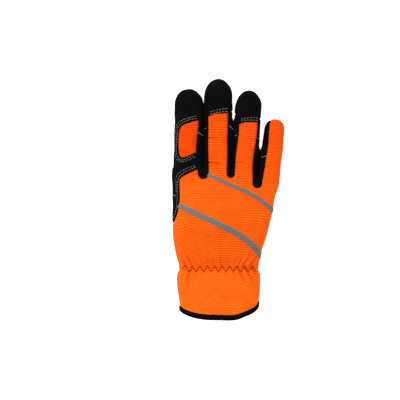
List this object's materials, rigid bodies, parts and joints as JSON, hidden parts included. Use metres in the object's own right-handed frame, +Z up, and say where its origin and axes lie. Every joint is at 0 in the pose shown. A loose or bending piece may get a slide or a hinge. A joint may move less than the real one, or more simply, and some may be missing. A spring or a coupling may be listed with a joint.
{
  "type": "mechanic glove",
  "caption": "Slip-on mechanic's glove for the right hand, orange ribbed back with grey tapes, black palm and guards, lying palm down.",
  "frame": {"origin": "centre of the glove's box on the floor it lies on", "axes": "+Y from the cuff to the fingertips, +X towards the little finger, +Z up, out of the back of the hand"},
  "size_m": [0.1159, 0.2498, 0.0333],
  "materials": {
    "orange_rib_knit": "matte",
    "black_leather": "matte",
    "black_cloth": "matte",
    "black_padding": "satin",
    "grey_reflective_tape": "satin",
    "black_binding": "matte"
  },
  "bodies": {
    "root": {"back_panel": "orange_rib_knit", "index_back": "orange_rib_knit", "thumb_back": "orange_rib_knit", "index_guard": "black_leather", "middle_fingertip": "black_leather", "ring_fingertip": "black_leather", "palm_panel": "black_leather", "thumb_palm": "black_leather", "thumb_saddle": "black_leather", "fourchette_index_middle": "black_cloth", "fourchette_middle_ring": "black_cloth", "fourchette_ring_little": "black_cloth", "knuckle_pad_index": "black_padding", "knuckle_pad_middle": "black_padding", "heel_pad": "black_padding", "reflective_tape_upper": "grey_reflective_tape", "reflective_tape_lower": "grey_reflective_tape", "cuff_binding": "black_binding"}
  },
  "joints": []
}
